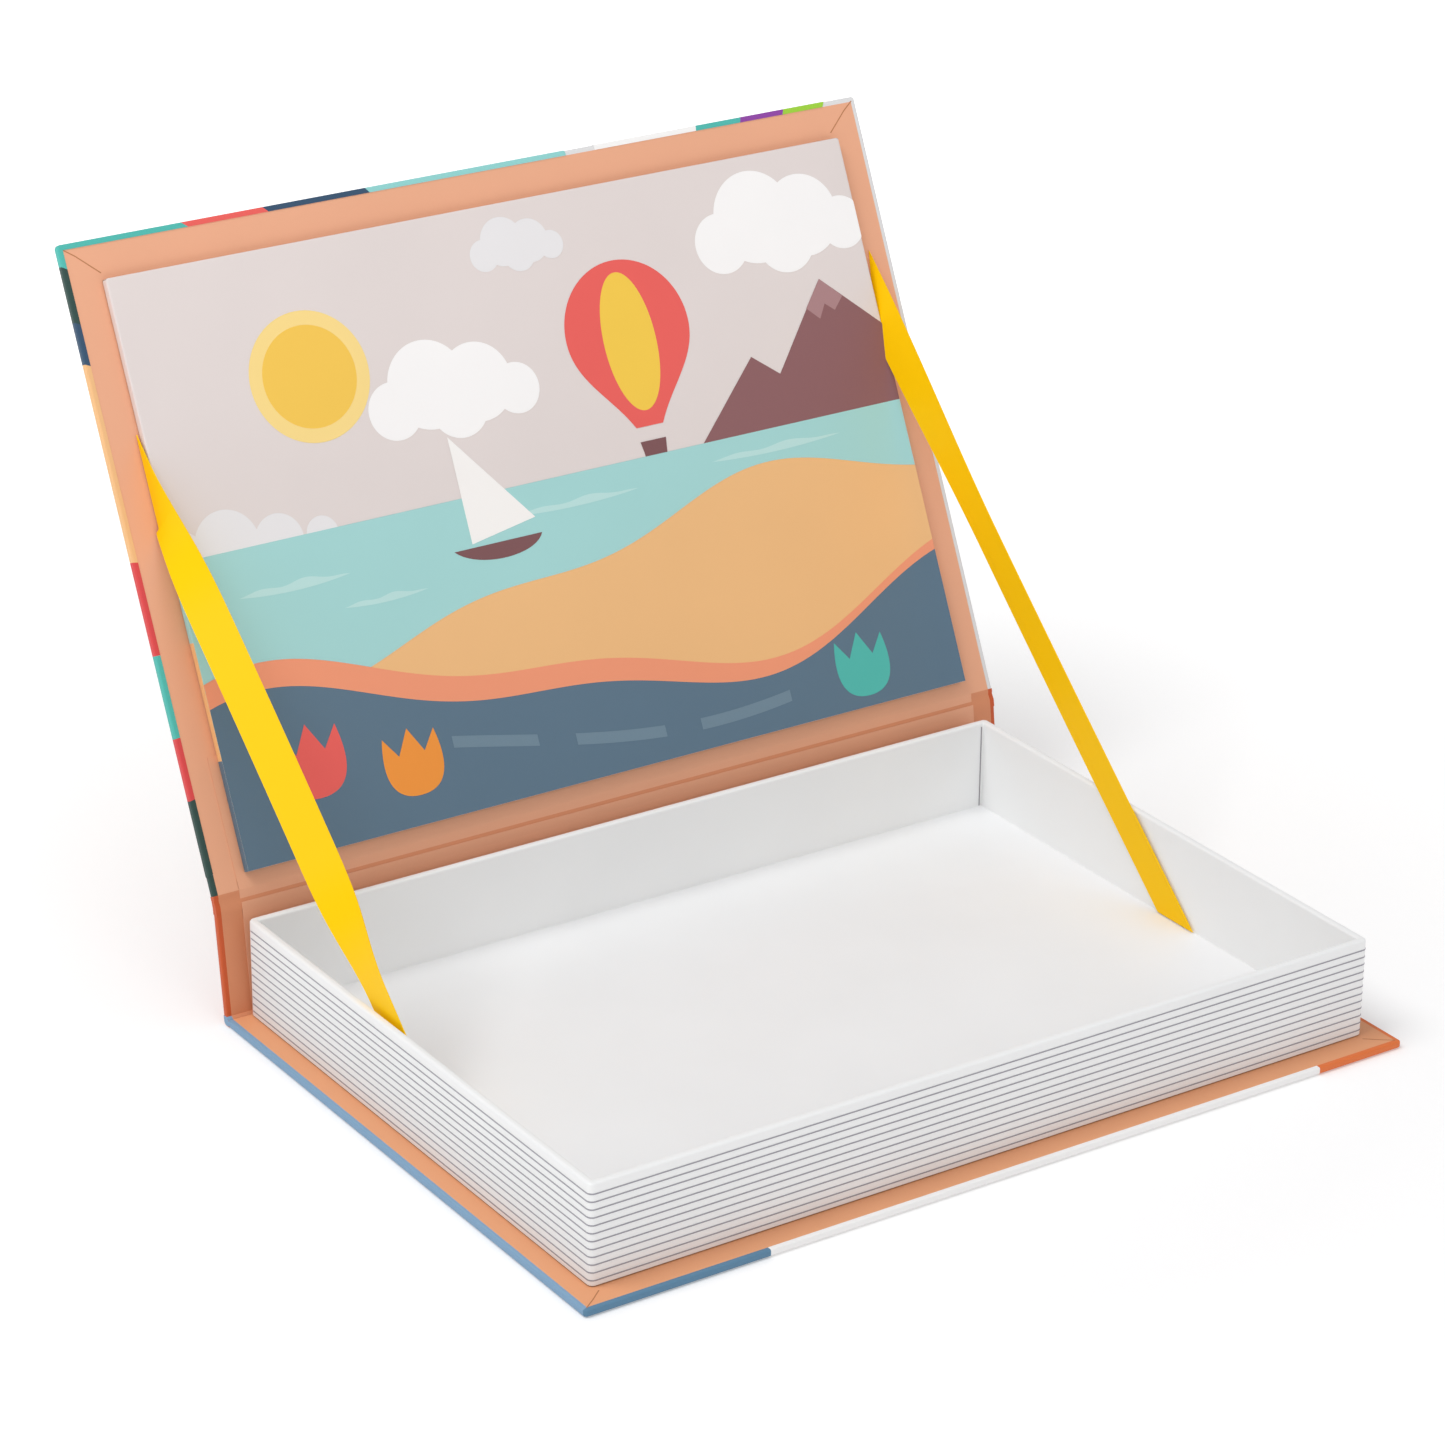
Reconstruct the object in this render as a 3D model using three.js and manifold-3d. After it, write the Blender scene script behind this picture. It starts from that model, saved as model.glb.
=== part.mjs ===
// A magnetic puzzle book: a box made like a hardback, open on its ribbon stays.
// Millimetres. +X runs along the spine, +Y from the front edge to the spine, +Z up.
// The origin is the centre of the back cover's outer face, which lies on the table.

import * as THREE from "three";
import { mergeVertices } from "three/addons/utils/BufferGeometryUtils.js";
import Module from "manifold-3d";

// Papers, boards and the glue line between glued layers
const paper = 0.15;
const glue = 0.05;
const coverBoard = 1.5;
const trayBoard = 1.8;
const coreBoard = 2.1;
const steelSheet = 0.2;
const ink = 0.1;
const inkGap = 0.03;

// Covers
const coverWidth = 255;
const backCoverDepth = 180;
const frontCoverReach = 178;
const cornerRadius = 1;
const edgeRadius = 0.35;
const turnIn = 16;
const mitreSlit = 0.2;

// Creases, and how far the open book leans back from upright
const creaseSetback = 0.3;
const foldClearance = 0.3;
const spineLean = THREE.MathUtils.degToRad(7.5);
const lidLean = THREE.MathUtils.degToRad(25.3);

// Tray
const trayHeight = 28.2;
const sideOverhang = 6.7;
const frontOverhang = 8.3;
const trayCorner = 1.6;
const innerCorner = 0.5;
const lidClearance = 0.9;
const linerClearance = 0.4;

// Printed page lines round the outside of the tray
const pageLines = 12;
const pageLineWidth = 0.35;
const pageLineRelief = 0.06;
const firstPageLine = 1.6;
const lastPageLine = 25.3;

// Hinge lining, pasted over the turn-ins: its reach on to each cover and its inset at the ends
const liningOnLid = 36;
const liningOnBase = 20;
const liningInset = 7.6;

// Magnetic picture board on the inside of the front cover
const boardSideInset = 10.2;
const boardHingeInset = 6.6;
const boardFrontInset = 11;

// Ribbon stays
const ribbonWidth = 11;
const ribbonThick = 0.4;
const ribbonGap = 0.3;
const ribbonLidHeight = { left: 112, right: 121 };
const ribbonTrayReach = { left: 99, right: 96 };

const thick = coverBoard + 2 * (paper + glue);
const trayWall = trayBoard + 2 * (paper + glue);
const lining = glue + paper;
const spineHeight = thick + lining + trayHeight + lidClearance + lining + thick;
const halfWidth = coverWidth / 2;
const creaseY = backCoverDepth / 2;
const boardStart = thick + lining + foldClearance;

const wasm = await Module();
wasm.setup();

// A closed geometry as a solid that can be joined and cut
function solid(geometry) {
  const bare = geometry.index ? geometry.toNonIndexed() : geometry.clone();
  bare.deleteAttribute("normal");
  bare.deleteAttribute("uv");
  const merged = mergeVertices(bare, 1e-4);
  return new wasm.Manifold(new wasm.Mesh({
    numProp: 3,
    vertProperties: new Float32Array(merged.attributes.position.array),
    triVerts: new Uint32Array(merged.index.array),
  }));
}

// The geometry of a solid
function geometryOf(made) {
  const mesh = made.getMesh();
  const geometry = new THREE.BufferGeometry();
  geometry.setAttribute("position", new THREE.BufferAttribute(mesh.vertProperties, 3));
  geometry.setIndex(new THREE.BufferAttribute(mesh.triVerts, 1));
  const flat = geometry.toNonIndexed();
  flat.computeVertexNormals();
  return flat;
}

// A box between two corners
function block(x0, x1, y0, y1, z0, z1) {
  const box = new THREE.BoxGeometry(x1 - x0, y1 - y0, z1 - z0);
  return solid(box.translate((x0 + x1) / 2, (y0 + y1) / 2, (z0 + z1) / 2));
}

// An outline raised from z0 to z1
function prism(shape, z0, z1, curveSegments = 6) {
  const raised = new THREE.ExtrudeGeometry(shape, {
    depth: z1 - z0,
    bevelEnabled: false,
    curveSegments,
  });
  return solid(raised.translate(0, 0, z0));
}

// A panel outline from the crease side y0 to the free edge y1, whose free corners are rounded
function panelShape(half, y0, y1, radius) {
  const shape = new THREE.Shape();
  shape.moveTo(-half, y0);
  shape.lineTo(half, y0);
  shape.lineTo(half, y1 - radius);
  shape.absarc(half - radius, y1 - radius, radius, 0, Math.PI / 2);
  shape.lineTo(-half + radius, y1);
  shape.absarc(-half + radius, y1 - radius, radius, Math.PI / 2, Math.PI);
  shape.closePath();
  return shape;
}

// A panel with softly rounded edges, z from 0 to the cover's thickness
function softPanel(half, y0, y1, radius) {
  const raised = new THREE.ExtrudeGeometry(panelShape(half, y0, y1, radius), {
    depth: thick - 2 * edgeRadius,
    bevelEnabled: true,
    bevelThickness: edgeRadius,
    bevelSize: edgeRadius,
    bevelOffset: -edgeRadius,
    bevelSegments: 2,
    curveSegments: 4,
  });
  return solid(raised.translate(0, 0, edgeRadius));
}

function finish(color, roughness = 0.8, metalness = 0) {
  return new THREE.MeshStandardMaterial({ color, roughness, metalness });
}

function piece(group, name, made, material) {
  const mesh = new THREE.Mesh(made.getMesh ? geometryOf(made) : made, material);
  mesh.name = name;
  group.add(mesh);
  return mesh;
}

// The printed cover art is a burst of rays. Each ray is a field of colour on the outer face that
// goes round the edge and shows as a narrow bleed on the inside.
const bleed = 1.4;
const burst = { x: 52, y: 62, clear: 16 };

// Ink on the outer face and round the edges of a panel, as far in as the bleed
function inkShell(reach, low) {
  const outer = inkPanel(reach, inkGap + ink);
  const inner = inkPanel(reach, inkGap);
  const shell = outer.subtract(inner);
  const half = halfWidth - bleed;
  return shell
    .subtract(block(-half, half, -1, reach - bleed, thick / 2, thick + 2))
    .intersect(block(-coverWidth, coverWidth, low, reach + 2, -2, thick + 2));
}

// A panel grown by a margin all round
function inkPanel(reach, margin) {
  const beyond = 2;
  const radius = edgeRadius + margin;
  const outline = panelShape(halfWidth + margin, -beyond, reach + margin, cornerRadius + margin);
  const raised = new THREE.ExtrudeGeometry(outline, {
    depth: thick + 2 * margin - 2 * radius,
    bevelEnabled: true,
    bevelThickness: radius,
    bevelSize: radius,
    bevelOffset: -radius,
    bevelSegments: 2,
    curveSegments: 4,
  });
  return solid(raised.translate(0, 0, radius - margin));
}

// A point on a cover's edge: share 0 to 1 up the left edge, 1 to 2 along the front edge and
// 2 to 3 down the right edge, seen from inside the open cover
function edgePoint(share, reach) {
  const beyond = 1.2;
  const [x0, x1, y1] = [-halfWidth * beyond, halfWidth * beyond, reach * beyond];
  if (share <= 1) return [x0, share * y1];
  if (share <= 2) return [x0 + (share - 1) * (x1 - x0), y1];
  return [x1, (3 - share) * y1];
}

// One ray of the burst between two shares of the edge
function ray(shell, reach, from, to) {
  const corner = from < 1 && to > 1 ? [edgePoint(1, reach)] : [];
  const outline = new THREE.Shape(
    [[burst.x, burst.y], edgePoint(from, reach), ...corner, edgePoint(to, reach)]
      .map(([x, y]) => new THREE.Vector2(x, y)),
  );
  const clear = new THREE.Shape();
  clear.absarc(burst.x, burst.y, burst.clear, 0, 2 * Math.PI);
  return shell
    .intersect(prism(outline, -2, thick + 2))
    .subtract(prism(clear, -2, thick + 2, 16));
}

// From the hinge up the left edge, then along the front edge to the right
const coverRays = [
  ["cover_ray_dark_green_low", 0x2f4a45, 0, 0.11],
  ["cover_ray_red_low", 0xd8484a, 0.11, 0.2],
  ["cover_ray_teal_low", 0x4fb7ad, 0.2, 0.32],
  ["cover_ray_red_high", 0xd8484a, 0.32, 0.455],
  ["cover_ray_sand", 0xedba82, 0.455, 0.74],
  ["cover_ray_navy_side", 0x34506b, 0.74, 0.8],
  ["cover_ray_dark_green_high", 0x2f4a45, 0.8, 0.88],
  ["cover_ray_teal_corner", 0x4fb7ad, 0.88, 1.06],
  ["cover_ray_coral", 0xe8605a, 1.06, 1.165],
  ["cover_ray_navy_top", 0x34506b, 1.165, 1.3],
  ["cover_ray_aqua", 0x8fd0cd, 1.3, 1.572],
  ["cover_ray_white", 0xf4f3f1, 1.613, 1.759],
  ["cover_ray_teal_top", 0x4fb7ad, 1.759, 1.824],
  ["cover_ray_purple", 0x8e44a3, 1.824, 1.887],
  ["cover_ray_green", 0x9ccf3c, 1.887, 1.947],
];

const greyboard = () => finish(0xa8a196, 0.95);
const whitePaper = () => finish(0xf2f2f0, 0.7);
const peachPaper = () => finish(0xe3a070, 0.75);

// Each panel of the case is built flat: y runs from the crease to the free edge,
// z from the printed outer face inwards
const backCover = new THREE.Group();
backCover.position.set(0, creaseY, 0);
backCover.rotation.z = Math.PI;

const spine = new THREE.Group();
spine.position.set(0, creaseY, 0);
spine.rotation.x = Math.PI / 2 - spineLean;

const lid = new THREE.Group();
lid.position.set(
  0,
  creaseY + spineHeight * Math.sin(spineLean),
  spineHeight * Math.cos(spineLean),
);
lid.rotation.x = Math.PI / 2 - lidLean;

// Greyboard of a cover
function coverBoardOf(reach) {
  const edge = paper + glue;
  const outline = panelShape(halfWidth - edge, boardStart, reach - edge, cornerRadius);
  return prism(outline, edge, edge + coverBoard);
}

// Printed wrap of a cover: outer sheet, edges, and turn-ins that meet in mitred corners
function coverWrap(reach) {
  const beyond = 1;
  const hollow = panelShape(halfWidth - paper, boardStart - beyond, reach - paper, cornerRadius);
  const window = block(
    -halfWidth + turnIn, halfWidth - turnIn,
    boardStart - beyond, reach - turnIn,
    thick / 2, thick + beyond,
  );
  const outer = softPanel(halfWidth, boardStart - beyond, reach, cornerRadius);
  const trimmed = outer.subtract(block(
    -halfWidth - beyond, halfWidth + beyond,
    boardStart - 2 * beyond, boardStart,
    -beyond, thick + beyond,
  ));
  let wrap = trimmed.subtract(prism(hollow, paper, thick - paper)).subtract(window);
  for (const side of [-1, 1]) {
    const slit = new THREE.BoxGeometry(mitreSlit, turnIn * Math.SQRT2, thick / 2);
    slit.rotateZ(side * -Math.PI / 4);
    slit.translate(side * (halfWidth - turnIn / 2 - 1), reach - turnIn / 2 - 1, thick);
    wrap = wrap.subtract(solid(slit));
  }
  return wrap.add(block(-halfWidth, halfWidth, creaseSetback, boardStart + beyond, 0, paper));
}

// Spine: the board stands between the creases, its wrap turned in at both ends
function buildSpine() {
  const edge = paper + glue;
  const low = creaseSetback;
  const high = spineHeight - creaseSetback;
  piece(spine, "spine_board", block(
    -halfWidth + edge, halfWidth - edge, low, high, edge, edge + coverBoard,
  ), greyboard());
  const outer = block(-halfWidth, halfWidth, low, high, 0, thick);
  const hollow = block(-halfWidth + paper, halfWidth - paper, low - 1, high + 1, paper, thick - paper);
  const window = block(-halfWidth + turnIn, halfWidth - turnIn, low - 1, high + 1, thick / 2, thick + 1);
  piece(spine, "spine_wrap", outer.subtract(hollow).subtract(window), finish(0xc8552c, 0.6));
  piece(spine, "spine_lining", liningStrip(low, high), peachPaper());
}

// The part of the hinge lining that lies on one panel, over its turn-ins
function liningStrip(low, high) {
  const half = halfWidth - liningInset;
  return block(-half, half, low, high, thick + glue, thick + lining);
}

function buildBackCover() {
  piece(backCover, "back_cover_board", coverBoardOf(backCoverDepth), greyboard());
  piece(backCover, "back_cover_wrap", coverWrap(backCoverDepth), finish(0x7fa9c4, 0.6));
  piece(backCover, "back_cover_lining", liningStrip(boardStart, boardStart + liningOnBase), peachPaper());
}

function buildFrontCover() {
  piece(lid, "front_cover_board", coverBoardOf(frontCoverReach), greyboard());
  piece(lid, "front_cover_wrap", coverWrap(frontCoverReach), finish(0xdcdcdc, 0.6));
  const shell = inkShell(frontCoverReach, boardStart);
  for (const [name, color, from, to] of coverRays)
    piece(lid, name, ray(shell, frontCoverReach, from, to), finish(color, 0.6));
  piece(lid, "front_cover_lining", liningStrip(boardStart, boardStart + liningOnLid), peachPaper());
}

// Corners of a rounded rectangle ring, grown from the tray's outline by an offset
function ring(offset, z, trayHalfX, trayY0, trayY1) {
  const radius = Math.max(trayCorner + offset, innerCorner);
  const turns = 4;
  const points = [];
  const corners = [
    [trayHalfX + offset, trayY1 + offset, 0, -1, -1],
    [-trayHalfX - offset, trayY1 + offset, 1, 1, -1],
    [-trayHalfX - offset, trayY0 - offset, 2, 1, 1],
    [trayHalfX + offset, trayY0 - offset, 3, -1, 1],
  ];
  for (const [x, y, quarter, inX, inY] of corners) {
    for (let i = 0; i <= turns; i += 1) {
      const angle = (quarter + i / turns) * Math.PI / 2;
      points.push([
        x + inX * radius + radius * Math.cos(angle),
        y + inY * radius + radius * Math.sin(angle),
        z,
      ]);
    }
  }
  return points;
}

const trayHalfX = halfWidth - sideOverhang;
const trayFront = -creaseY + frontOverhang;
const trayBack = creaseY - boardStart;
const trayFoot = thick + lining + glue;
const trayRim = thick + lining + trayHeight;

// A profile of [offset, z] points carried round the tray's outline: closed on itself as a band,
// or capped with a flat bottom at its first point and a flat floor at its last
function carriedRound(profile, capped = false) {
  const rings = profile.map(([offset, z]) => ring(offset, z, trayHalfX, trayFront, trayBack));
  const around = rings[0].length;
  const positions = rings.flat(2);
  const index = [];
  const spans = capped ? rings.length - 1 : rings.length;
  for (let p = 0; p < spans; p += 1) {
    const next = (p + 1) % rings.length;
    for (let i = 0; i < around; i += 1) {
      const j = (i + 1) % around;
      const [a, b] = [p * around + i, p * around + j];
      const [c, d] = [next * around + i, next * around + j];
      index.push(a, b, d, a, d, c);
    }
  }
  if (capped) {
    const under = rings.length * around;
    const over = under + 1;
    const last = (rings.length - 1) * around;
    const middleY = (trayFront + trayBack) / 2;
    positions.push(0, middleY, profile[0][1], 0, middleY, profile.at(-1)[1]);
    for (let i = 0; i < around; i += 1) {
      const j = (i + 1) % around;
      index.push(under, j, i, over, last + i, last + j);
    }
  }
  const geometry = new THREE.BufferGeometry();
  geometry.setAttribute("position", new THREE.Float32BufferAttribute(positions, 3));
  geometry.setIndex(index);
  return solid(geometry);
}

// Points of a half-round rim, from the outer wall face over to the inner one
function rimArc(outer, inner, top) {
  const middle = (outer + inner) / 2;
  const radius = (outer - inner) / 2;
  const steps = 6;
  return Array.from({ length: steps + 1 }, (_, i) => {
    const angle = i / steps * Math.PI;
    return [middle + radius * Math.cos(angle), top - radius + radius * Math.sin(angle)];
  });
}

const tray = new THREE.Group();

// The tray blank: one board folded up into a floor and four walls
function trayBlank() {
  const skin = paper + glue;
  return carriedRound([
    [-skin, trayFoot],
    ...rimArc(-skin, -skin - trayBoard, trayRim - skin),
    [-skin - trayBoard, trayFoot + trayBoard],
  ], true);
}

// The tray's white wrap goes up the outside, over the rim and down the inside to the floor
function trayWrap() {
  const floorTop = trayFoot + trayBoard + glue;
  return carriedRound([
    [0, trayFoot],
    ...rimArc(0, -trayWall, trayRim),
    [-trayWall, floorTop],
    [-trayWall + paper, floorTop],
    ...rimArc(-paper, -trayWall + paper, trayRim - paper).reverse(),
    [-paper, trayFoot],
  ]);
}

function buildTray() {
  const floorTop = trayFoot + trayBoard + glue;
  const inset = trayWall + linerClearance;
  piece(tray, "tray_board", trayBlank(), greyboard());
  piece(tray, "tray_wrap", trayWrap(), whitePaper());
  piece(tray, "tray_floor_liner", block(
    -trayHalfX + inset, trayHalfX - inset,
    trayFront + inset, trayBack - inset,
    floorTop, floorTop + paper,
  ), whitePaper());
  for (let i = 0; i < pageLines; i += 1) {
    const share = i / (pageLines - 1);
    const middle = thick + lining + THREE.MathUtils.lerp(firstPageLine, lastPageLine, share);
    piece(tray, `page_line_${i + 1}`, pageLine(middle), finish(0xb9bcbf, 0.8));
  }
}

// One printed line: a thin band round the front and both sides, left off the back wall
function pageLine(middle) {
  const [low, high] = [middle - pageLineWidth / 2, middle + pageLineWidth / 2];
  const clear = inkGap;
  const band = carriedRound([
    [clear + pageLineRelief, low],
    [clear + pageLineRelief, high],
    [clear, high],
    [clear, low],
  ]);
  const reach = halfWidth + 1;
  return band.subtract(block(-reach, reach, trayBack - trayCorner, creaseY + 1, low - 1, high + 1));
}

// The picture board: core, steel sheet, and a face paper whose edges go down the core's sides
const boardHalf = halfWidth - boardSideInset;
const boardLow = boardHingeInset;
const boardHigh = frontCoverReach - boardFrontInset;
const coreFoot = thick + lining + glue;
const steelFoot = coreFoot + coreBoard + glue;
const faceFoot = steelFoot + steelSheet + glue;
const faceTop = faceFoot + paper;

function buildPictureBoard() {
  const edge = paper + glue;
  const [half, low, high] = [boardHalf - edge, boardLow + edge, boardHigh - edge];
  piece(lid, "picture_core", block(-half, half, low, high, coreFoot, coreFoot + coreBoard), greyboard());
  piece(lid, "picture_steel_sheet", block(
    -half, half, low, high, steelFoot, steelFoot + steelSheet,
  ), finish(0x9a9da1, 0.35, 1));
  const outer = block(-boardHalf, boardHalf, boardLow, boardHigh, coreFoot, faceTop);
  const inner = block(
    -boardHalf + paper, boardHalf - paper,
    boardLow + paper, boardHigh - paper,
    coreFoot - 1, faceFoot,
  );
  piece(lid, "picture_face_paper", outer.subtract(inner), finish(0xded4d1, 0.55));
}

// The printed picture: x is a share of the board's half width, y and sizes are shares of its
// height, so that the picture keeps its layout on a board of another size
const boardTall = boardHigh - boardLow;
const across = (share) => share * boardHalf;
const up = (share) => share * boardTall;

// Ground below a rolling skyline: a height plus waves of [height, waves across, phase]
function groundShape(base, waves) {
  const steps = 28;
  const edge = boardHalf + 1;
  const shape = new THREE.Shape();
  shape.moveTo(-edge, -1);
  for (let i = 0; i <= steps; i += 1) {
    const x = THREE.MathUtils.lerp(-edge, edge, i / steps);
    const y = waves.reduce(
      (sum, [height, count, phase]) =>
        sum + up(height) * Math.sin(2 * Math.PI * (count * x / (2 * boardHalf) + phase)),
      up(base),
    );
    shape.lineTo(x, y);
  }
  shape.lineTo(edge, -1);
  shape.closePath();
  return shape;
}

function discShape(x, y, radius) {
  const shape = new THREE.Shape();
  shape.absarc(across(x), up(y), up(radius), 0, 2 * Math.PI);
  return shape;
}

// A straight-sided outline through points that are offsets from a place in the picture
function cutShape(x, y, offsets) {
  return new THREE.Shape(
    offsets.map(([dx, dy]) => new THREE.Vector2(across(x) + up(dx), up(y) + up(dy))),
  );
}

// Print on the board is a set of fields, each cut back by those in front of it
function field(shapes) {
  const foot = faceTop + inkGap;
  return shapes
    .map((shape) => prism(shape, foot, foot + ink))
    .reduce((whole, part) => whole.add(part));
}

// A cloud is a bank of overlapping discs
function cloudShapes(x, y, size) {
  const bumps = [[-1.5, 0.35, 0.62], [-0.6, 0.75, 0.95], [0.55, 0.6, 0.85], [1.45, 0.3, 0.55], [0, 0.2, 0.7]];
  return bumps.map(([dx, dy, r]) => {
    const shape = new THREE.Shape();
    shape.absarc(across(x) + up(dx * size), up(y + dy * size), up(r * size), 0, 2 * Math.PI);
    return shape;
  });
}

const lakeTop = 0.52;
const sun = { x: -0.56, y: 0.775, radius: 0.0875 };
const balloon = { x: 0.29, y: 0.74, radius: 0.125 };

// A balloon envelope: a round crown drawn down to a narrow mouth
function envelopeShape() {
  const [x, y, r] = [across(balloon.x), up(balloon.y), up(balloon.radius)];
  const shape = new THREE.Shape();
  shape.moveTo(x - r * 0.22, y - r * 1.35);
  shape.bezierCurveTo(x - r * 0.5, y - r * 0.85, x - r, y - r * 0.55, x - r, y);
  shape.absarc(x, y, r, Math.PI, 0, true);
  shape.bezierCurveTo(x + r, y - r * 0.55, x + r * 0.5, y - r * 0.85, x + r * 0.22, y - r * 1.35);
  shape.closePath();
  return shape;
}

// The balloon's middle gore, a lens inside the envelope
function goreShape() {
  const [x, y, r] = [across(balloon.x), up(balloon.y), up(balloon.radius)];
  const shape = new THREE.Shape();
  shape.absellipse(x, y - r * 0.15, r * 0.42, r * 0.98, 0, 2 * Math.PI);
  return shape;
}

// A tulip's cup: two round sides and three points
function tulipShape(x, y, size) {
  const [cx, cy, r] = [across(x), up(y), up(size)];
  const shape = new THREE.Shape();
  shape.moveTo(cx, cy);
  shape.bezierCurveTo(cx - r, cy, cx - r, cy + r * 0.9, cx - r * 0.8, cy + r * 1.7);
  shape.lineTo(cx - r * 0.4, cy + r * 1.15);
  shape.lineTo(cx, cy + r * 1.85);
  shape.lineTo(cx + r * 0.4, cy + r * 1.15);
  shape.lineTo(cx + r * 0.8, cy + r * 1.7);
  shape.bezierCurveTo(cx + r, cy + r * 0.9, cx + r, cy, cx, cy);
  shape.closePath();
  return shape;
}

// Peaks that run off the board's right edge, standing on the lake's far shore
function mountainShape() {
  const edge = boardHalf + 1;
  const foot = up(lakeTop) - 1;
  return new THREE.Shape([
    [across(0.41), foot], [across(0.61), up(0.65)], [across(0.68), up(0.61)],
    [across(0.85), up(0.76)], [edge, up(0.65)], [edge, foot],
  ].map(([x, y]) => new THREE.Vector2(x, y)));
}

// From the front of the picture to the back
const printFields = [
  ["print_tulip_left", 0xe8605a, [tulipShape(-0.78, 0.087, 0.068)]],
  ["print_tulip_middle", 0xf39a4e, [tulipShape(-0.53, 0.05, 0.062)]],
  ["print_tulip_right", 0x5fc4b8, [tulipShape(0.72, 0.019, 0.062)]],
  ["print_slate_hill", 0x5f7888, [groundShape(0.187, [[0.075, 0.9, 0.62], [0.025, 2.1, 0.2]])]],
  ["print_coral_rim", 0xf09a78, [groundShape(0.225, [[0.081, 0.85, 0.6], [0.025, 2.1, 0.18]])]],
  ["print_sand_hill", 0xedba82, [groundShape(0.362, [[0.081, 0.7, 0.02], [0.022, 2.3, 0.6]])]],
  ["print_sail", 0xf6f5f2, [cutShape(-0.25, 0.44, [[0, 0], [0, 0.187], [0.131, 0.022]])]],
  ["print_lake", 0xa5d5d3, [groundShape(lakeTop, [])]],
  ["print_balloon_gore", 0xf2c84a, [goreShape()]],
  ["print_balloon", 0xe8605a, [envelopeShape()]],
  ["print_basket", 0x8b5f61, [cutShape(balloon.x, balloon.y - 0.194, [
    [-0.026, 0], [-0.02, -0.04], [0.02, -0.04], [0.026, 0],
  ])]],
  ["print_sun", 0xf2c84a, [discShape(sun.x, sun.y, sun.radius)]],
  ["print_mountains", 0x8b5f61, [mountainShape()]],
  ["print_cloud_left", 0xf4f3f1, cloudShapes(-0.2, 0.66, 0.081)],
  ["print_cloud_right", 0xe9e8e8, cloudShapes(0.78, 0.825, 0.087)],
];

function buildPrint() {
  const reach = 1;
  const page = block(-boardHalf, boardHalf, 0, boardTall, faceTop - reach, faceTop + reach);
  let covered = null;
  for (const [name, color, shapes] of printFields) {
    const whole = field(shapes).intersect(page);
    const seen = covered ? whole.subtract(covered) : whole;
    const mesh = piece(lid, name, seen, finish(color, 0.55));
    mesh.position.y = boardLow;
    covered = covered ? covered.add(whole) : whole;
  }
}

// A ribbon stay: a flat strap in a plane along the side wall, from the seam of the tray's floor
// and wall, where it is cut level, up to the picture board's side, where it is cut along the cover
function ribbon(hand) {
  const side = hand === "left" ? -1 : 1;
  lid.updateMatrixWorld(true);
  const footZ = trayFoot + trayBoard + glue + paper + ribbonGap;
  const foot = new THREE.Vector3(
    side * (trayHalfX - trayWall - ribbonGap - ribbonThick / 2),
    creaseY - ribbonTrayReach[hand],
    footZ,
  );
  const head = new THREE.Vector3(
    side * (boardHalf + ribbonGap + ribbonThick / 2),
    ribbonLidHeight[hand],
    thick + ribbonGap,
  ).applyMatrix4(lid.matrixWorld);
  const inward = new THREE.Vector3(0, 0, 1).transformDirection(lid.matrixWorld);
  const along = head.clone().sub(foot).normalize();
  const across = new THREE.Vector3(0, -along.z, along.y).normalize();
  const half = ribbonWidth / 2;
  const positions = [];
  for (const end of [foot, head]) {
    for (const [w, f] of [[-1, -1], [1, -1], [1, 1], [-1, 1]]) {
      const point = end.clone().addScaledVector(across, w * half);
      const run = end === foot
        ? (footZ - point.z) / along.z
        : head.clone().sub(point).dot(inward) / along.dot(inward);
      point.addScaledVector(along, run);
      point.x += f * ribbonThick / 2;
      positions.push(...point.toArray());
    }
  }
  return strap(positions, 2, 4);
}

// A closed loft through rows of the same number of points
function strap(positions, rows, around) {
  const index = [];
  for (let r = 0; r + 1 < rows; r += 1) {
    for (let i = 0; i < around; i += 1) {
      const j = (i + 1) % around;
      const [a, b] = [r * around + i, r * around + j];
      const [c, d] = [a + around, b + around];
      index.push(a, b, d, a, d, c);
    }
  }
  const end = (rows - 1) * around;
  for (let i = 1; i + 1 < around; i += 1) {
    index.push(0, i + 1, i);
    index.push(end, end + i, end + i + 1);
  }
  const geometry = new THREE.BufferGeometry();
  geometry.setAttribute("position", new THREE.Float32BufferAttribute(positions, 3));
  geometry.setIndex(index);
  return solid(geometry);
}

const ribbons = new THREE.Group();

function buildRibbons() {
  piece(ribbons, "left_ribbon", ribbon("left"), finish(0xffd800, 0.4));
  piece(ribbons, "right_ribbon", ribbon("right"), finish(0xffc800, 0.4));
}

buildBackCover();
buildSpine();
buildFrontCover();
buildTray();
buildPictureBoard();
buildPrint();
buildRibbons();

const group = new THREE.Group();
group.add(backCover, spine, lid, tray, ribbons);

export default group;
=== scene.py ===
import math

import bmesh
import bpy
import numpy as np
from mathutils import Matrix, Vector


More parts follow.
